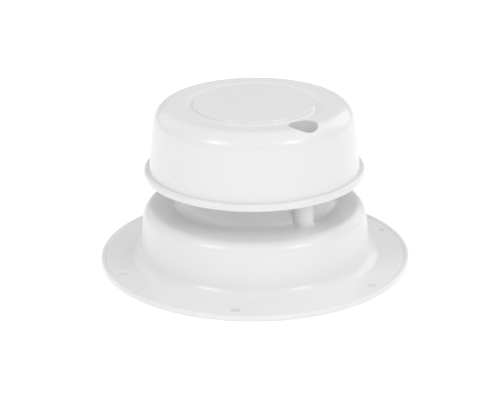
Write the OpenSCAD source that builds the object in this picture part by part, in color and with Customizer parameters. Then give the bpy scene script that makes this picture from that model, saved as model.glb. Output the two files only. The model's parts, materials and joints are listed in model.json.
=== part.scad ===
// Round roof vent: a flanged base with a raised shoulder and neck, and a dome cap that stands on three posts.
// The frame: origin at the centre of the flange's underside, +Z up, -Y towards the front.

/* [Base] */
// Outer diameter of the flange
flange_d = 184; // [170:1:200]
// Thickness of the flange inside its rim
flange_t = 2.6; // [2:0.1:4]
// Number of screw holes in the flange
flange_holes = 6; // [3:1:10]
// Diameter of the circle that the flange holes lie on
flange_pcd = 167.6; // [156:0.2:172]
// Diameter of each flange hole
flange_hole_d = 5; // [3.5:0.1:6]
// Angle of the first flange hole from the front, towards +X
flange_hole_turn = -8.5; // [-30:0.5:30]
// Diameter of the shoulder just under its rounded edge
shoulder_d = 132.8; // [130:0.2:136]
// Height of the shoulder above the underside
shoulder_h = 35; // [30:0.5:40]
// Height of the neck above the underside
neck_h = 59.8; // [56:0.2:66]
// Outer diameter of the neck where it leaves the shoulder
neck_d = 91.8; // [90:0.2:94]
// Bore that the vent pipe comes up through
pipe_bore_d = 63.5; // [60:0.5:66]

/* [Cap] */
// Height of the cap's crest above the underside
cap_h = 96.2; // [92:0.2:104]
// Diameter of the cap's wall just under its rounded edge
cap_d = 118; // [116:0.2:122]
// Outer diameter of the lip round the cap's mouth
lip_d = 130; // [128:0.5:134]
// Height of the lip's lower face above the underside
lip_z = 54; // [50:0.5:56]
// Diameter of the raised round panel on the cap
badge_d = 70.6; // [60:0.2:71]
// Depth of the shallow dish round the raised panel, below the crest of the cap
dish_depth = 1.2; // [0:0.1:1.4]

/* [Posts and screw] */
// Distance of each post from the centre line
post_r = 47; // [46.6:0.1:49]
// Angle of the screwed post from the front, towards +X
post_turn = 34.9; // [0:0.1:60]
// Angle from the screwed post to each of the two plain posts behind it
rear_post_turn = 135; // [120:1:140]
// Diameter of a post at its foot
post_d = 12.2; // [11:0.1:13]
// Diameter of the round well over the screw
well_d = 16.6; // [16:0.1:17.4]
// Depth of the well below the cap's crest
well_depth = 16.2; // [12:0.2:20]
// Outer diameter of the screw's thread
screw_d = 4.8; // [4:0.1:5]

/* [Hidden] */
$fn = 96;

plastic = "whitesmoke";
wall_t = 2.5;            // thickness of both mouldings
flange_r = flange_d / 2;
bead_h = 3.3;            // rim bead of the flange
bead_w = 2.4;
shoulder_r = shoulder_d / 2;
shoulder_edge = 7.4;     // rounding between the shoulder's wall and its deck
foot_fillet = 8;         // rounding between the flange and the shoulder's wall
flange_rise = 1.2;       // the flange thickens this much towards the shoulder
foot_z = flange_t + flange_rise + foot_fillet;
shoulder_draft = 1.9;    // how far the wall leans out towards its foot
deck_rise = 1.9;         // the deck climbs this much towards the neck, so that rain runs off
neck_r = neck_d / 2;
neck_fillet = 4;
neck_edge = 3.5;
neck_draft = 3.2;
deck_inner_r = neck_r + neck_fillet;
deck_inner_z = shoulder_h + deck_rise;
bore_r = pipe_bore_d / 2;
collar_t = 2.2;          // wall of the collar that guides the pipe
collar_len = 13.8;

cap_r = cap_d / 2;
cap_edge = 10;           // rounding between the cap's top and wall
cap_draft = 3;
lip_r = lip_d / 2;
lip_h = 3.9;
lip_round = 0.9;
badge_r = badge_d / 2;
badge_h = 1.1;
badge_bevel = 0.9;       // width of the sloped edge of the panel
dish_w = 6.2;            // the dish has faded out at this distance from the panel
roof_z = cap_h - wall_t;

well_r = well_d / 2;
well_wall = 2;
floor_t = 3;             // floor of the well, which rests on the screwed post
floor_z = cap_h - well_depth;
seat_gap = 0.05;         // keeps the cap's resting faces just off the posts
post_top_r = 5.4;
post_bore_depth = 22;
socket_wall = 2;
socket_gap = 0.3;
socket_h = 10;
socket_pad = 2.2;        // solid end of each socket, which rests on its post
core_boss_r = 6.5;       // hollow bosses under the cap's top
core_boss_h = 7;
core_boss_turns = [-8.4, 70, 103];
core_boss_ring = 49.5;   // distance of these bosses from the centre line

screw_r = screw_d / 2;
screw_len = 19;          // length under the head
screw_pitch = 1.6;
thread_depth = 0.7;
thread_gap = 0.06;       // clearance of the thread in the post
head_r = 4.7;
head_h = 3.1;
tip_len = 4;
washer_r = 6.3;
washer_t = 1.2;
seal_r = 6;
seal_t = 1.6;
washer_hole_r = 2.6;
slot_w = 1.1;            // arms of the cross recess
slot_len = 5.2;
slot_deep = 1.9;

// Points on an arc about c, from angle a0 to a1.
function arc(c, r, a0, a1, n = 8) =
    [for (i = [0:n]) let (a = a0 + (a1 - a0) * i / n) [c[0] + r * cos(a), c[1] + r * sin(a)]];

// Place at distance r from the axis, at an angle from the front towards +X.
module at_turn(turn, r) {
    translate([r * sin(turn), -r * cos(turn), 0])
        children();
}

// Outer side of the base, from the rim up over the shoulder to the top of the neck.
function base_outside() = concat(
    [[flange_r - 0.8, 0]],
    arc([flange_r - 0.8, 0.8], 0.8, -90, 0, 3),
    arc([flange_r - 0.9, bead_h - 0.9], 0.9, 0, 90, 4),
    arc([flange_r - bead_w + 0.9, bead_h - 0.9], 0.9, 90, 160, 3),
    [[flange_r - bead_w - 0.6, flange_t]],
    arc([shoulder_r + shoulder_draft + foot_fillet, foot_z], foot_fillet, 270, 180),
    arc([shoulder_r - shoulder_edge, shoulder_h - shoulder_edge], shoulder_edge, 0, 90),
    arc([deck_inner_r, deck_inner_z + neck_fillet], neck_fillet, 260, 180, 6),
    arc([neck_r - neck_draft - neck_edge, neck_h - neck_edge], neck_edge, 0, 90, 6)
);

// Inner side of the base, from the pipe collar down under the neck and shoulder to the flange's underside.
function base_inside() = concat(
    arc([bore_r + 1, neck_h - 1], 1, 90, 180, 3),
    [
        [bore_r, neck_h - collar_len],
        [bore_r + collar_t, neck_h - collar_len],
        [bore_r + collar_t, neck_h - wall_t],
        [neck_r - neck_draft - neck_edge, neck_h - wall_t],
    ],
    arc([neck_r - neck_draft - neck_edge, neck_h - neck_edge], neck_edge - wall_t, 90, 0, 3),
    arc([deck_inner_r, deck_inner_z + neck_fillet], neck_fillet + wall_t, 180, 260, 6),
    arc([shoulder_r - shoulder_edge, shoulder_h - shoulder_edge], shoulder_edge - wall_t, 90, 0, 6),
    arc([shoulder_r + shoulder_draft + foot_fillet, foot_z], foot_fillet + wall_t, 180, 225, 4),
    [[shoulder_r + shoulder_draft + 3, 0]]
);

// The cap's outline with its hollow filled in, from the lip up the wall and in to the middle of the panel.
function cap_outside() = concat(
    [[0, lip_z]],
    arc([lip_r - lip_round, lip_z + lip_round], lip_round, -90, 0, 4),
    arc([lip_r - lip_round, lip_z + lip_h - lip_round], lip_round, 0, 90, 4),
    arc([cap_r + cap_draft + lip_round, lip_z + lip_h + lip_round], lip_round, 270, 180, 4),
    arc([cap_r - cap_edge, cap_h - cap_edge], cap_edge, 0, 90, 10),
    [
        [badge_r + dish_w, cap_h - 0.1 * dish_depth],
        [badge_r + badge_bevel, cap_h - dish_depth],
        [badge_r + 0.3, cap_h + badge_h - 0.2],
        [badge_r - 0.3, cap_h + badge_h],
        [0, cap_h + badge_h],
    ]
);

// The hollow under the cap, open at the mouth.
function cap_hollow() = concat(
    [[0, roof_z]],
    arc([cap_r - cap_edge, cap_h - cap_edge], cap_edge - wall_t, 90, 0, 6),
    [[cap_r + cap_draft - wall_t, lip_z + lip_h], [cap_r + cap_draft - wall_t, lip_z - 1], [0, lip_z - 1]]
);

// A post, solid from under the deck to its top, as deep in the deck as the deck is thick.
module post(top_z) {
    translate([0, 0, deck_inner_z - wall_t])
        cylinder(h = top_z - deck_inner_z + wall_t, r1 = post_d / 2, r2 = post_top_r);
}

// The one moulding that is screwed to the roof.
module base() {
    color(plastic)
        difference() {
            union() {
                rotate_extrude() polygon(concat(base_outside(), base_inside()));
                at_turn(post_turn, post_r)
                    post(floor_z - floor_t - seat_gap);
                for (side = [-1, 1])
                    at_turn(post_turn + side * rear_post_turn, post_r)
                        post(roof_z - socket_pad - seat_gap);
            }
            for (i = [0:flange_holes - 1])
                at_turn(flange_hole_turn + 360 * i / flange_holes, flange_pcd / 2)
                    translate([0, 0, -1]) cylinder(h = bead_h + 4, d = flange_hole_d);
            at_turn(post_turn, post_r)
                translate([0, 0, floor_z - floor_t - post_bore_depth])
                    cylinder(h = post_bore_depth + 1, r = screw_r + thread_gap);
        }
}

// A hollow boss of height h that hangs from the roof of the cap, with a solid pad at its end.
module roof_boss(outer_r, inner_r, h, pad = 0) {
    translate([0, 0, roof_z - h])
        difference() {
            cylinder(h = h + 1, r = outer_r);
            translate([0, 0, -1]) cylinder(h = h - pad + 1, r = inner_r);
        }
}

// What stands in the cap's hollow: the well's tube, sockets for the two plain posts, bosses beside the well.
module cap_fittings() {
    at_turn(post_turn, post_r)
        translate([0, 0, floor_z - floor_t]) cylinder(h = well_depth + floor_t, r = well_r + well_wall);
    for (side = [-1, 1])
        at_turn(post_turn + side * rear_post_turn, post_r)
            roof_boss(post_top_r + socket_gap + socket_wall, post_top_r + socket_gap, socket_h, socket_pad);
    for (turn = core_boss_turns)
        at_turn(turn, core_boss_ring)
            roof_boss(core_boss_r, core_boss_r - socket_wall, core_boss_h);
}

// The dome that keeps rain out of the pipe.
module cap() {
    color(plastic)
        difference() {
            rotate_extrude() polygon(cap_outside());
            difference() {
                rotate_extrude() polygon(cap_hollow());
                cap_fittings();
            }
            at_turn(post_turn, post_r) {
                translate([0, 0, floor_z]) cylinder(h = well_depth + 5, r = well_r);
                translate([0, 0, floor_z - floor_t - 1]) cylinder(h = floor_t + 2, r = washer_hole_r);
            }
        }
}

// Ring with a round hole, standing on z.
module ring(z, h, outer_r, inner_r) {
    translate([0, 0, z])
        difference() {
            cylinder(h = h, r = outer_r);
            translate([0, 0, -1]) cylinder(h = h + 2, r = inner_r);
        }
}

module sealing_washer() {
    color("dimgray") at_turn(post_turn, post_r) ring(floor_z, seal_t, seal_r, washer_hole_r);
}

module flat_washer() {
    color("silver") at_turn(post_turn, post_r) ring(floor_z + seal_t, washer_t, washer_r, washer_hole_r);
}

// Side of the screw under its head, one ridge for each turn of the thread.
function screw_side() = let (turns = floor((screw_len - tip_len - 2) / screw_pitch)) concat(
    [for (i = [0:turns - 1]) each [
        [screw_r - thread_depth, -2 - i * screw_pitch],
        [screw_r, -2 - (i + 0.5) * screw_pitch],
    ]],
    [[screw_r - thread_depth, -2 - turns * screw_pitch], [0.4, -screw_len], [0, -screw_len]]
);

// Pan-head screw with a cross recess, seated on the washers.
module cap_screw() {
    color("silver")
        at_turn(post_turn, post_r)
            translate([0, 0, floor_z + seal_t + washer_t])
                difference() {
                    rotate_extrude() polygon(concat(
                        [[0, head_h], [head_r * 0.45, head_h]],
                        arc([head_r - 1.6, head_h - 1.8], 1.6, 75, 0, 5),
                        [[head_r, 0], [screw_r - thread_depth, 0]],
                        screw_side()
                    ));
                    for (turn = [20, 110])
                        rotate([0, 0, turn])
                            translate([-slot_len / 2, -slot_w / 2, head_h - slot_deep])
                                cube([slot_len, slot_w, slot_deep + 1]);
                }
}

base();
cap();
cap_screw();
flat_washer();
sealing_washer();
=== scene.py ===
"""Looks for the round roof vent: moulded white plastic, a stainless screw and a rubber washer."""
import json
import math

import bmesh
import bpy
import numpy as np
from mathutils import Matrix, Vector


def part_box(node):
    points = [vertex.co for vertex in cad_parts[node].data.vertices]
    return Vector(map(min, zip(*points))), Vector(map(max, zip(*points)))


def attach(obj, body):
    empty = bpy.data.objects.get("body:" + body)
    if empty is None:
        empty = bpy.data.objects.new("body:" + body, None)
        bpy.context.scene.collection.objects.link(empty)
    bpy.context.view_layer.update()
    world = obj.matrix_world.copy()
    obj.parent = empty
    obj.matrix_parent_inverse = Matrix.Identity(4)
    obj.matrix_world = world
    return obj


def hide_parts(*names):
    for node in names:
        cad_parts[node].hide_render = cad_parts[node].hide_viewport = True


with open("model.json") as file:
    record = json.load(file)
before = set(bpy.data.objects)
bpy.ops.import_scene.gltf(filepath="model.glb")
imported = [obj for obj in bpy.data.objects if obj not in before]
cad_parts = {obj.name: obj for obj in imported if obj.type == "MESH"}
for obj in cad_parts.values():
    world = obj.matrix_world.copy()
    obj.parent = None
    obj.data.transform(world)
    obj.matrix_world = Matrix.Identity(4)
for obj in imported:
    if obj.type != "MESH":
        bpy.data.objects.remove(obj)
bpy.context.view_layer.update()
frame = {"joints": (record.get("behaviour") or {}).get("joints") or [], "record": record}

MM = 0.001
TURNS = 288                      # steps round a moulding
FINE = 1.5                       # longest step along a moulding's outline, in mm


# ---------------------------------------------------------------- sizes, in mm, from the CAD model

def node_box(node):
    low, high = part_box(node)
    return Vector(low) / MM, Vector(high) / MM


def mount(name):
    return next(m for m in frame["record"]["mounts"] if m["name"] == name)


def joint(name):
    return next(j for j in frame["joints"] if j["name"] == name)


_, base_high = node_box("base")
cap_low, cap_high = node_box("cap")
screw_low, screw_high = node_box("cap_screw")
washer_low, washer_high = node_box("flat_washer")
seal_low, seal_high = node_box("sealing_washer")

FLANGE_R = base_high.x
LIP_R = cap_high.x
LIP_Z = cap_low.z
PIPE_R = mount("pipe_bore")["dims"]["r_mm"]
HOLE_PCD = mount("roof_screws")["dims"]["pcd_mm"]
HOLE_R = mount("roof_screws")["dims"]["hole_r_mm"]
HOLE_COUNT = mount("roof_screws")["dims"]["count"]
HOLE_TURN = -8.5                 # first flange hole, from the front towards +X
SCREW_AT = ((screw_low + screw_high) / 2).xy
POST_RING = SCREW_AT.length
POST_TURN = math.degrees(math.atan2(SCREW_AT.x, -SCREW_AT.y))

# The base's outline
RIM_H = 3.3                      # height of the bead round the flange
FLANGE_T = 2.6                   # height of the flange inside the bead
NECK_TOP = 59.8
NECK_ROOF = 57.3                 # inner face of the neck's top
COLLAR_R = PIPE_R + 2.2          # the collar that guides the pipe
COLLAR_END = 46.0

# The cap's outline
WALL = 2.5
BADGE_TOP = cap_high.z - 0.3
CAP_TOP = cap_high.z - 1.1
DISH = 1.2                       # the dish round the raised panel, below the cap's crest
DISH_W = 6.2
BADGE_R = 35.3
CAP_R = 57.95                    # where the top and the wall would meet without their rounding
CAP_RIM = 10.0                   # that rounding
WALL_FOOT_R = 62.1               # the wall's outer foot, on the lip
WALL_FOOT = 3.35                 # its height above the lip's lower face
WALL_LEAN = 0.107                # how far the wall leans in for each mm it climbs
LIP_H = 3.95
MOUTH_R = 59.5                   # the hollow's wall at the lip
HOLLOW_R = 55.2                  # and at the roof
HOLLOW_RIM = 7.5                 # rounding inside the hollow
SHELL_MIDDLE = 1.2               # from the cap's inner face to the middle of its wall
ROOF_Z = CAP_TOP - WALL

# The well, the posts and the bosses
WELL_R = 8.3
WELL_EDGE = 0.35                 # rounding of the well's mouth
WELL_FLOOR = seal_low.z
WELL_WALL = 2.0
FLOOR_T = 3.0
POST_TOP_R = 5.4
POST_FOOT_R = 6.1
POST_TOP = base_high.z           # the two plain posts
SCREW_POST_TOP = WELL_FLOOR - FLOOR_T - 0.05
SCREW_HOLE_R = 2.46
REAR_POST_TURN = 135             # from the screwed post to each plain post
CORE_TURNS = (-8.4, 70, 103)     # hollow bosses under the cap's top
CORE_RING = 49.5
CORE_R = 6.5
CORE_HOLE_R = 4.5
CORE_H = 7
SOCKET_H = 10
SOCKET_PAD = 2.2                 # solid end of each socket
SOCKET_GAP = 0.3
SOCKET_WALL = 2.0

# The screw and its washers
SCREW_R = 2.4
THREAD_DEPTH = 0.7
TIP_LENGTH = 3.6
HEAD_R = 4.7
RECESS_DEPTH = 1.9
FLAT_WASHER_R = 6.3
SEAL_R = 6.0
WASHER_HOLE_R = 2.6
SCREW_PITCH = joint("screw_lift")["range_m"][1] / MM / (joint("screw_turn")["range_deg"][1] / 360)


# ---------------------------------------------------------------- outlines

def rounded(corners):
    """An outline through (r, z, fillet) corners, with each corner as an arc that meets both sides."""
    points = []
    count = len(corners)
    for i, (r, z, fillet) in enumerate(corners):
        here = np.array([r, z])
        if fillet == 0:
            points.append(here)
            continue
        back = np.array(corners[i - 1][:2]) - here
        ahead = np.array(corners[(i + 1) % count][:2]) - here
        back /= np.linalg.norm(back)
        ahead /= np.linalg.norm(ahead)
        half = math.acos(np.clip(back @ ahead, -1, 1)) / 2
        centre = here + (back + ahead) / np.linalg.norm(back + ahead) * fillet / math.sin(half)
        start = here + back * fillet / math.tan(half) - centre
        end = here + ahead * fillet / math.tan(half) - centre
        sweep = math.atan2(start[0] * end[1] - start[1] * end[0], start @ end)
        steps = max(4, math.ceil(abs(sweep) * 7), math.ceil(abs(sweep) * fillet / 0.8))
        for k in range(steps + 1):
            a = sweep * k / steps
            turn = np.array([[math.cos(a), -math.sin(a)], [math.sin(a), math.cos(a)]])
            points.append(centre + turn @ start)
    return points


def refined(points, step=FINE):
    """The outline with its long straight stretches cut into short steps."""
    result = []
    for here, ahead in zip(points, points[1:] + points[:1]):
        pieces = max(1, math.ceil(np.linalg.norm(ahead - here) / step))
        if here[0] < 1e-6 and ahead[0] < 1e-6:
            pieces = 1
        result += [here + (ahead - here) * k / pieces for k in range(pieces)]
    return result


# ---------------------------------------------------------------- meshes

def new_object(name, verts, faces):
    """A mesh object from points in metres, with its faces turned outwards."""
    mesh = bpy.data.meshes.new(name)
    mesh.from_pydata([tuple(v) for v in verts], [], faces)
    mesh.update()
    work = bmesh.new()
    work.from_mesh(mesh)
    bmesh.ops.recalc_face_normals(work, faces=work.faces)
    work.to_mesh(mesh)
    work.free()
    piece = bpy.data.objects.new(name, mesh)
    bpy.context.scene.collection.objects.link(piece)
    return piece


def grid_faces(rings, turns):
    """Faces between neighbouring rings of turns points each."""
    faces = []
    for i in range(rings - 1):
        j = i + 1
        for k in range(turns):
            m = (k + 1) % turns
            faces.append((i * turns + k, i * turns + m, j * turns + m, j * turns + k))
    return faces


def lathe(name, outline, turns=TURNS, at=(0, 0), dent=None):
    """A solid of revolution about the vertical line at (x, y), in mm. dent(x, y, z) lowers a point."""
    verts, rings = [], []
    angles = np.arange(turns) * 2 * math.pi / turns
    for r, z in outline:
        if r < 1e-6:
            rings.append([len(verts)])
            verts.append((at[0], at[1], z))
        else:
            rings.append(list(range(len(verts), len(verts) + turns)))
            verts += [(at[0] + r * math.sin(a), at[1] - r * math.cos(a), z) for a in angles]
    faces = []
    for here, ahead in zip(rings, rings[1:] + rings[:1]):
        if len(here) == 1 and len(ahead) == 1:
            continue
        for k in range(turns):
            m = (k + 1) % turns
            if len(here) == 1:
                faces.append((here[0], ahead[k], ahead[m]))
            elif len(ahead) == 1:
                faces.append((here[k], here[m], ahead[0]))
            else:
                faces.append((here[k], here[m], ahead[m], ahead[k]))
    if dent:
        verts = [(x, y, z - dent(x, y, z)) for x, y, z in verts]
    return new_object(name, np.array(verts) * MM, faces)


def combine(piece, others, operation):
    """Cuts the others from the piece, or joins them on, and removes them."""
    for other in others:
        change = piece.modifiers.new("change", "BOOLEAN")
        change.operation = operation
        change.solver = "EXACT"
        change.object = other
        bpy.context.view_layer.update()
        mesh = bpy.data.meshes.new_from_object(piece.evaluated_get(bpy.context.evaluated_depsgraph_get()))
        piece.modifiers.clear()
        piece.data = mesh
        bpy.data.objects.remove(other)
    return piece


def smooth(piece, angle=32):
    """Smooth shading with crisp edges where the surface turns by more than the angle."""
    mesh = piece.data
    mesh.shade_smooth()
    mesh.set_sharp_from_angle(angle=math.radians(angle))
    return piece


def round_place(turn, r):
    """The place at distance r from the axis, at a turn from the front towards +X, in mm."""
    a = math.radians(turn)
    return (r * math.sin(a), -r * math.cos(a))


# ---------------------------------------------------------------- the base

def base_outline():
    """From the flange's rim up over the shoulder and neck, down the pipe's bore and back inside."""
    return refined(rounded([
        (FLANGE_R, 0, 0.8),
        (FLANGE_R, RIM_H, 0.9),
        (FLANGE_R - 2.1, RIM_H, 0.7),
        (FLANGE_R - 2.7, FLANGE_T, 0.5),
        (69.1, 4.63, 8),
        (65.6, 34.15, 7.4),
        (46.7, 36.8, 4),
        (42, NECK_TOP, 3.5),
        (PIPE_R, NECK_TOP, 1),
        (PIPE_R, COLLAR_END, 0.4),
        (COLLAR_R, COLLAR_END, 0.4),
        (COLLAR_R, NECK_ROOF, 0.8),
        (39.4, NECK_ROOF, 1),
        (44.7, 34.6, 6.5),
        (63.4, 31.9, 4.9),
        (66, 8.5, 8),
        (71.3, 0, 0.4),
    ]))


def flange_hole(index):
    """Cutter for one screw hole, a little wider at its mouth."""
    top, flare = 3.2, 0.8
    return lathe("cutter", rounded([
        (0, -1, 0),
        (HOLE_R, -1, 0),
        (HOLE_R, top - 0.45, 0.5),
        (HOLE_R + flare, top + 0.2, 0),
        (HOLE_R + flare, 6, 0),
        (0, 6, 0),
    ]), 48, round_place(HOLE_TURN + 360 * index / HOLE_COUNT, HOLE_PCD / 2))


def post(turn, top):
    """A tapered post whose foot flares into the deck."""
    foot, spread = 35.2, 3.0
    return lathe("post", refined(rounded([
        (0, top, 0),
        (POST_TOP_R, top, 0.6),
        (POST_FOOT_R, foot + 1.2, 2.2),
        (POST_FOOT_R + spread, foot + 0.4, 0),
        (POST_FOOT_R + spread, foot - 0.6, 0),
        (0, foot - 0.6, 0),
    ])), 72, round_place(turn, POST_RING))


def make_base():
    base = lathe("base_moulding", base_outline())
    posts = [post(POST_TURN, SCREW_POST_TOP)]
    posts += [post(POST_TURN + side * REAR_POST_TURN, POST_TOP) for side in (-1, 1)]
    combine(base, posts, "UNION")
    screw_hole = lathe("cutter", rounded([
        (0, SCREW_POST_TOP - 22, 0),
        (SCREW_HOLE_R, SCREW_POST_TOP - 22, 0.3),
        (SCREW_HOLE_R, SCREW_POST_TOP - 0.5, 0.4),
        (SCREW_HOLE_R + 0.8, SCREW_POST_TOP + 0.3, 0),
        (SCREW_HOLE_R + 0.8, SCREW_POST_TOP + 2, 0),
        (0, SCREW_POST_TOP + 2, 0),
    ]), 48, SCREW_AT)
    combine(base, [screw_hole] + [flange_hole(i) for i in range(HOLE_COUNT)], "DIFFERENCE")
    return smooth(base)


# ---------------------------------------------------------------- the cap

def cap_corners():
    """From the raised panel out over the dish and rounding, down to the lip and back inside."""
    return [
        (0, BADGE_TOP, 0),
        (BADGE_R, BADGE_TOP, 0.5),
        (BADGE_R + 0.8, CAP_TOP - DISH, 0.6),
        (BADGE_R + DISH_W, CAP_TOP - 0.12, 20),
        (CAP_R, CAP_TOP + 0.03, CAP_RIM),
        (WALL_FOOT_R, LIP_Z + WALL_FOOT, 0.2),
        (WALL_FOOT_R + 0.5, LIP_Z + LIP_H, 0.35),
        (LIP_R, LIP_Z + LIP_H, 1.3),
        (LIP_R, LIP_Z, 1.0),
        (MOUTH_R, LIP_Z, 0.4),
        (HOLLOW_R, ROOF_Z, HOLLOW_RIM),
        (0, ROOF_Z, 0),
    ]


def cap_height(r):
    """Height of the cap's outer surface near the well, at distance r from the axis."""
    outline = np.array(refined(rounded(cap_corners())))
    outside = outline[:np.argmax(outline[:, 0])]
    top = outside[outside[:, 0] > BADGE_R + 2]
    return np.interp(r, top[:, 0], top[:, 1])


# Turn, distance from the axis and depth of each sink mark, over a boss or a socket
SINKS = [
    (-8.4, 50.8, 0.05),
    (70, 51.5, 0.05),
    (103, 49.5, 0.03),
    (-100.1, 47, 0.03),
    (169.9, 47, 0.03),
]
SINK_R = 6.5
SINK_WIDTH = 1.5


def sink(x, y, z):
    """How far the top has sunk over the walls of the bosses below it."""
    if z < CAP_TOP - 4:
        return 0
    depth = 0
    for turn, ring, most in SINKS:
        cx, cy = round_place(turn, ring)
        depth += most * math.exp(-((math.hypot(x - cx, y - cy) - SINK_R) / SINK_WIDTH) ** 2)
    return depth


def well_cutter():
    """The well's inside, with a lip that rounds over into the cap's curved top."""
    turns, edge, step = 144, WELL_EDGE, 0.8
    angles = np.arange(turns) * 2 * math.pi / turns
    directions = np.stack([np.sin(angles), -np.cos(angles)], 1)

    def surface(out):
        spots = np.array(SCREW_AT) + directions * out
        return cap_height(np.hypot(spots[:, 0], spots[:, 1]))

    corner = surface(WELL_R)
    wall_top, rim_top = corner - edge, surface(WELL_R + edge)
    wall_foot = WELL_FLOOR + 0.5
    floor = [
        (0.05, WELL_FLOOR),
        (WELL_R - 0.5, WELL_FLOOR),
        (WELL_R - 0.15, WELL_FLOOR + 0.15),
        (WELL_R, wall_foot),
    ]
    rings = [(out, np.full(turns, z)) for out, z in floor]
    for k in range(1, 12):
        rings.append((WELL_R, wall_foot + (wall_top - WELL_FLOOR - 0.5) * k / 12))
    for k in range(9):
        t = k / 8
        out = WELL_R + edge * t * t
        z = (1 - t) ** 2 * wall_top + 2 * t * (1 - t) * corner + t * t * rim_top
        rings.append((out, z))
    rings.append((WELL_R + edge + step, surface(WELL_R + edge + step) + 0.25))
    rings.append((WELL_R + edge + step, np.full(turns, CAP_TOP + 8)))
    rings.append((0.05, np.full(turns, CAP_TOP + 8)))
    verts = []
    for out, heights in rings:
        spots = np.array(SCREW_AT) + directions * out
        verts += [(x, y, z) for (x, y), z in zip(spots, heights)]
    faces = grid_faces(len(rings), turns)
    faces.append(tuple(range(turns)))
    faces.append(tuple(range((len(rings) - 1) * turns, len(rings) * turns)))
    return new_object("cutter", np.array(verts) * MM, faces)


def tube(at, outer, inner, low, high):
    """An upright tube with its lower edges rounded."""
    edge = min(0.4, (outer - inner) / 4)
    corners = [(inner, low, edge), (outer, low, edge), (outer, high, 0), (inner, high, 0)]
    return lathe("tube", rounded(corners), 72, at)


def tick(turn, r, length, width):
    """A small raised bar that points to the middle of the cap."""
    sides, height = 10, cap_high.z - BADGE_TOP - 0.05
    a = math.radians(turn)
    along = np.array([math.sin(a), -math.cos(a)])
    across = np.array([math.cos(a), math.sin(a)])
    middle = along * r
    rings = []
    for grow, z in [(0, -0.3), (0, height * 0.55), (-0.08, height * 0.85), (-0.18, height)]:
        ring = []
        for end, start in [(1, -90), (-1, 90)]:
            for k in range(sides):
                b = math.radians(start + 180 * k / (sides - 1))
                out = end * (length - width) / 2 + (width / 2 + grow) * math.cos(b)
                side = (width / 2 + grow) * math.sin(b)
                spot = middle + along * out + across * side
                ring.append((spot[0], spot[1], BADGE_TOP + z))
        rings.append(ring)
    verts = [v for ring in rings for v in ring]
    count = len(rings[0])
    faces = grid_faces(len(rings), count)
    faces.append(tuple(range(count)))
    faces.append(tuple(range(count * (len(rings) - 1), count * len(rings))))
    return new_object("tick", np.array(verts) * MM, faces)


TICK_ARCS = [(-84, -6, 16), (74, 200, 26)]    # first and last turn, and how many ticks
TICK_RING = 31.6
TICK_WIDTH = 0.75


def make_ticks():
    """Two arcs of plain ticks on the raised panel."""
    ticks = []
    for first, last, count in TICK_ARCS:
        for k in range(count):
            length = 3.0 if k % 5 == 0 else 2.2
            ticks.append(tick(first + (last - first) * k / (count - 1), TICK_RING, length, TICK_WIDTH))
    bpy.ops.object.select_all(action="DESELECT")
    for t in ticks:
        t.select_set(True)
    bpy.context.view_layer.objects.active = ticks[0]
    bpy.ops.object.join()
    return ticks[0]


def gate_nub():
    """The stub left where the plastic was let into the mould."""
    turn, z = -48.5, 66.5
    half_wide, half_high, sunk = 0.75, 0.95, 0.25
    r = WALL_FOOT_R - (z - LIP_Z - WALL_FOOT) * WALL_LEAN
    x, y = round_place(turn, r - sunk)
    rings, sides = 8, 20
    verts = []
    for i in range(rings):
        a = math.pi * (i + 0.5) / rings
        for k in range(sides):
            b = 2 * math.pi * k / sides
            out = half_wide * math.sin(a)
            verts.append((x + out * math.cos(b), y + out * math.sin(b), z + half_high * math.cos(a)))
    faces = grid_faces(rings, sides)
    faces += [tuple(range(sides)), tuple(range((rings - 1) * sides, rings * sides))]
    return new_object("nub", np.array(verts) * MM, faces)


def make_fittings():
    """The well's tube, the plain posts' sockets and the hollow bosses, cut off in the cap's shell."""
    top = ROOF_Z + 4
    well = tube(SCREW_AT, WELL_R + WELL_WALL, WASHER_HOLE_R, WELL_FLOOR - FLOOR_T, top)
    others = []
    for side in (-1, 1):
        at = round_place(POST_TURN + side * REAR_POST_TURN, POST_RING)
        inner = POST_TOP_R + SOCKET_GAP
        others.append(tube(at, inner + SOCKET_WALL, inner, ROOF_Z - SOCKET_H, top))
        others.append(tube(at, POST_TOP_R + 0.5, 0.01, ROOF_Z - SOCKET_PAD, top))
    for turn in CORE_TURNS:
        others.append(tube(round_place(turn, CORE_RING), CORE_R, CORE_HOLE_R, ROOF_Z - CORE_H, top))
    inside = lathe("inside", refined(rounded([
        (0, ROOF_Z + SHELL_MIDDLE, 0),
        (HOLLOW_R + SHELL_MIDDLE, ROOF_Z + SHELL_MIDDLE, HOLLOW_RIM + SHELL_MIDDLE),
        (MOUTH_R + SHELL_MIDDLE, LIP_Z + 5, 0),
        (0, LIP_Z + 5, 0),
    ])))
    return combine(combine(well, others, "UNION"), [inside], "INTERSECT")


def make_cap():
    cap = lathe("cap_moulding", refined(rounded(cap_corners())), dent=sink)
    combine(cap, [make_fittings(), gate_nub(), make_ticks()], "UNION")
    combine(cap, [well_cutter()], "DIFFERENCE")
    return smooth(cap)


# ---------------------------------------------------------------- the screw and its washers

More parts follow.
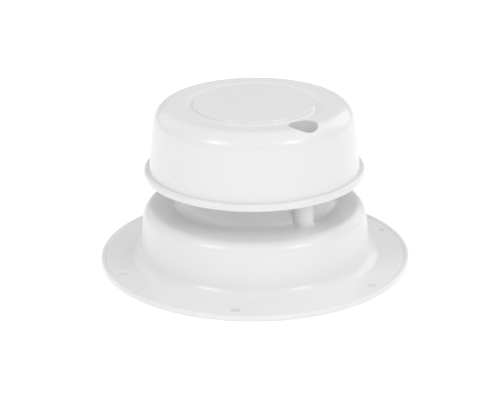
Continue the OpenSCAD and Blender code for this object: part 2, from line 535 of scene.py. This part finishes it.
def make_screw():
    """A helical thread that tapers to the tip, under a domed head with a cross recess."""
    seat = washer_high.z
    length = seat - screw_low.z
    turns, step = 48, 0.1
    core = SCREW_R - THREAD_DEPTH
    half_ridge = 0.26                # half the width of the thread's ridge, in turns
    run_in = 1.6                     # the length over which the thread rises to its full depth
    rings = int(length / step)
    verts = []
    for i in range(rings + 1):
        down = length * i / rings
        for k in range(turns):
            a = 2 * math.pi * k / turns
            phase = (down / SCREW_PITCH + a / (2 * math.pi)) % 1
            ridge = max(0, 1 - abs(phase - 0.5) / half_ridge)
            grow = min(1, max(0, (down - 0.8) / run_in))
            taper = min(1, (length - down) / TIP_LENGTH)
            r = (core + (SCREW_R - core) * ridge * grow) * (0.16 + 0.84 * taper) * 0.995
            verts.append((SCREW_AT.x + r * math.sin(a), SCREW_AT.y - r * math.cos(a), seat - down))
    faces = grid_faces(rings + 1, turns)
    faces += [tuple(range(turns)), tuple(range(rings * turns, (rings + 1) * turns))]
    shank = new_object("cap_screw_steel", np.array(verts) * MM, faces)
    head_h = screw_high.z - seat
    head = lathe("head", refined(rounded([
        (0, seat, 0),
        (HEAD_R - 0.1, seat, 0.25),
        (HEAD_R, seat + 1.0, 0.8),
        (HEAD_R - 1.3, seat + head_h - 0.35, 2.2),
        (0, seat + head_h, 0),
    ]), 0.4), 96, SCREW_AT)
    for turn in (20, 110):
        head = combine(head, [recess_arm(turn, screw_high.z)], "DIFFERENCE")
    return smooth(combine(shank, [head], "UNION"), 40)


def recess_arm(turn, top):
    """One pair of arms of the cross recess, narrower towards its floor."""
    a = math.radians(turn)
    along, across = np.array([math.cos(a), math.sin(a)]), np.array([-math.sin(a), math.cos(a)])
    verts = []
    for z, half_long, half_wide in [(top + 0.5, 2.75, 0.62), (top - RECESS_DEPTH, 1.0, 0.38)]:
        for i, j in [(-1, -1), (1, -1), (1, 1), (-1, 1)]:
            spot = np.array(SCREW_AT) + along * half_long * i + across * half_wide * j
            verts.append((spot[0], spot[1], z))
    faces = grid_faces(2, 4) + [(0, 1, 2, 3), (4, 5, 6, 7)]
    return new_object("cutter", np.array(verts) * MM, faces)


def make_ring(name, low, high, outer, inner, edge):
    """A washer round the screw."""
    corners = [(inner, low, edge), (outer, low, edge), (outer, high, edge), (inner, high, edge)]
    return smooth(lathe(name, rounded(corners), 128, SCREW_AT), 40)


# ---------------------------------------------------------------- materials

class Nodes:
    """A material's node tree, with short calls for the nodes used here."""

    def __init__(self, name):
        self.material = bpy.data.materials.new(name)
        self.material.use_nodes = True
        self.tree = self.material.node_tree
        self.shader = self.tree.nodes["Principled BSDF"]
        self.place = self.tree.nodes.new("ShaderNodeTexCoord").outputs["Object"]

    def noise(self, scale, detail=3, rough=0.5, stretch=None):
        node = self.tree.nodes.new("ShaderNodeTexNoise")
        node.inputs["Scale"].default_value = scale
        node.inputs["Detail"].default_value = detail
        node.inputs["Roughness"].default_value = rough
        place = self.place
        if stretch:
            mapping = self.tree.nodes.new("ShaderNodeMapping")
            mapping.inputs["Scale"].default_value = stretch
            self.tree.links.new(place, mapping.inputs["Vector"])
            place = mapping.outputs["Vector"]
        self.tree.links.new(place, node.inputs["Vector"])
        return node.outputs["Fac"]

    def ramp(self, value, low, high, out_low, out_high):
        node = self.tree.nodes.new("ShaderNodeMapRange")
        sockets = ("From Min", "From Max", "To Min", "To Max")
        for socket, number in zip(sockets, (low, high, out_low, out_high)):
            node.inputs[socket].default_value = number
        self.tree.links.new(value, node.inputs["Value"])
        return node.outputs["Result"]

    def mix(self, value, first, second):
        node = self.tree.nodes.new("ShaderNodeMix")
        node.data_type = "RGBA"
        node.inputs["A"].default_value = (*first, 1)
        node.inputs["B"].default_value = (*second, 1)
        self.tree.links.new(value, node.inputs["Factor"])
        return node.outputs["Result"]

    def bump(self, height, distance, strength=1.0, below=None):
        node = self.tree.nodes.new("ShaderNodeBump")
        node.inputs["Distance"].default_value = distance
        node.inputs["Strength"].default_value = strength
        self.tree.links.new(height, node.inputs["Height"])
        if below:
            self.tree.links.new(below, node.inputs["Normal"])
        return node.outputs["Normal"]

    def into(self, socket, value):
        self.tree.links.new(value, self.shader.inputs[socket])

    def fixed(self, **numbers):
        for socket, number in numbers.items():
            self.shader.inputs[socket.replace("_", " ")].default_value = number


def white_plastic(name, cloud_scale):
    """Gloss polypropylene: faint flow clouds, slow waves in the gloss and a very fine grain."""
    n = Nodes(name)
    n.fixed(IOR=1.49)
    low, high = (0.835, 0.823, 0.825), (0.85, 0.839, 0.84)
    n.into("Base Color", n.mix(n.noise(cloud_scale, 3), low, high))
    n.into("Roughness", n.ramp(n.noise(90, 3), 0.25, 0.75, 0.17, 0.25))
    waves = n.bump(n.noise(45, 2, 0.4), 0.0001, 0.5)
    n.into("Normal", n.bump(n.noise(1500, 2), 0.000006, 0.3, waves))
    return n.material


def stainless(name, grain):
    """Stainless steel with the fine drawn lines of a turned or stamped face."""
    n = Nodes(name)
    n.fixed(Metallic=1.0)
    n.into("Base Color", n.mix(n.noise(700, 3), (0.58, 0.58, 0.57), (0.70, 0.69, 0.67)))
    n.into("Roughness", n.ramp(n.noise(1400, 3), 0.3, 0.7, 0.22, 0.38))
    n.into("Normal", n.bump(n.noise(grain, 2, 0.6, (1, 8, 1)), 0.00003, 0.35))
    return n.material


def black_rubber(name):
    """Black rubber with a slight bloom."""
    n = Nodes(name)
    n.into("Base Color", n.mix(n.noise(500, 4), (0.018, 0.018, 0.019), (0.045, 0.045, 0.046)))
    n.into("Roughness", n.ramp(n.noise(1200, 3), 0.3, 0.7, 0.62, 0.8))
    n.into("Normal", n.bump(n.noise(3000, 3), 0.00003, 0.5))
    return n.material


def dress(piece, material, body, node):
    """Gives a piece its material and the body it rides on, and hides the CAD node it stands for."""
    piece.data.materials.clear()
    piece.data.materials.append(material)
    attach(piece, body)
    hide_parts(node)


# ---------------------------------------------------------------- camera, lights and floor

VIEW_HEIGHT = 21.576             # degrees above the horizon
VIEW_DISTANCE = 1.0
VIEW_ROLL = -0.765               # degrees
VIEW_TARGET = (-0.01576, 0, 0.0348)
LENS = 121.1
SHIFT_X = 0.0439
WORLD_STRENGTH = 0.45
FLOOR_GLOW = 0.22


def make_camera():
    camera = bpy.data.cameras.new("camera")
    camera.lens = LENS
    camera.sensor_width = 36
    camera.shift_x = SHIFT_X
    camera.clip_end = 50
    holder = bpy.data.objects.new("camera", camera)
    up = math.radians(VIEW_HEIGHT)
    back = Vector((0, -math.cos(up), math.sin(up)))
    holder.location = Vector(VIEW_TARGET) + back * VIEW_DISTANCE
    facing = back.to_track_quat("Z", "Y").to_matrix().to_4x4()
    roll = math.radians(VIEW_ROLL)
    holder.rotation_euler = (facing @ Matrix.Rotation(roll, 4, "Z")).to_euler()
    bpy.context.scene.collection.objects.link(holder)
    bpy.context.scene.camera = holder


def soft_light(name, turn, height, spread, strength):
    """A large soft light far away, at a turn from the front and a height above the horizon."""
    light = bpy.data.lights.new(name, "SUN")
    light.angle = math.radians(spread)
    light.energy = strength
    holder = bpy.data.objects.new(name, light)
    a, up = math.radians(turn), math.radians(height)
    level = math.cos(up)
    direction = Vector((math.sin(a) * level, -math.cos(a) * level, math.sin(up)))
    holder.rotation_euler = direction.to_track_quat("Z", "Y").to_euler()
    bpy.context.scene.collection.objects.link(holder)


def make_studio():
    soft_light("left_light", -50, 37, 21, 0.50)
    soft_light("right_light", 48, 36, 20, 0.42)
    soft_light("back_right_light", 137, 24, 40, 0.45)
    soft_light("back_left_light", -137, 24, 40, 0.2)
    soft_light("top_light", 30, 75, 100, 0.92)
    world = bpy.data.worlds.new("studio")
    world.use_nodes = True
    world.node_tree.nodes["Background"].inputs["Color"].default_value = (1, 1, 1, 1)
    world.node_tree.nodes["Background"].inputs["Strength"].default_value = WORLD_STRENGTH
    bpy.context.scene.world = world
    bpy.context.scene.view_settings.view_transform = "Standard"


def make_floor():
    half, drop = 6.0, 0.0002
    corners = [(-half, -half, 0), (half, -half, 0), (half, half, 0), (-half, half, 0)]
    floor = new_object("floor", corners, [(0, 1, 2, 3)])
    floor.location.z = -drop
    n = Nodes("floor_paper")
    n.into("Base Color", n.mix(n.noise(3, 2), (0.93, 0.93, 0.93), (0.94, 0.94, 0.94)))
    n.fixed(Roughness=0.9, Specular_IOR_Level=0.1, Emission_Strength=FLOOR_GLOW)
    n.shader.inputs["Emission Color"].default_value = (1, 1, 1, 1)
    floor.data.materials.append(n.material)


make_camera()
make_studio()
make_floor()
dress(make_base(), white_plastic("base_plastic", 24), "base", "base")
dress(make_cap(), white_plastic("cap_plastic", 31), "cap", "cap")
dress(make_screw(), stainless("screw_steel", 900), "screw", "cap_screw")
washer = make_ring("flat_washer_steel", washer_low.z, washer_high.z, FLAT_WASHER_R, WASHER_HOLE_R, 0.15)
dress(washer, stainless("washer_steel", 500), "washers", "flat_washer")
seal = make_ring("sealing_washer_rubber", seal_low.z, seal_high.z, SEAL_R, WASHER_HOLE_R, 0.45)
dress(seal, black_rubber("seal_rubber"), "washers", "sealing_washer")
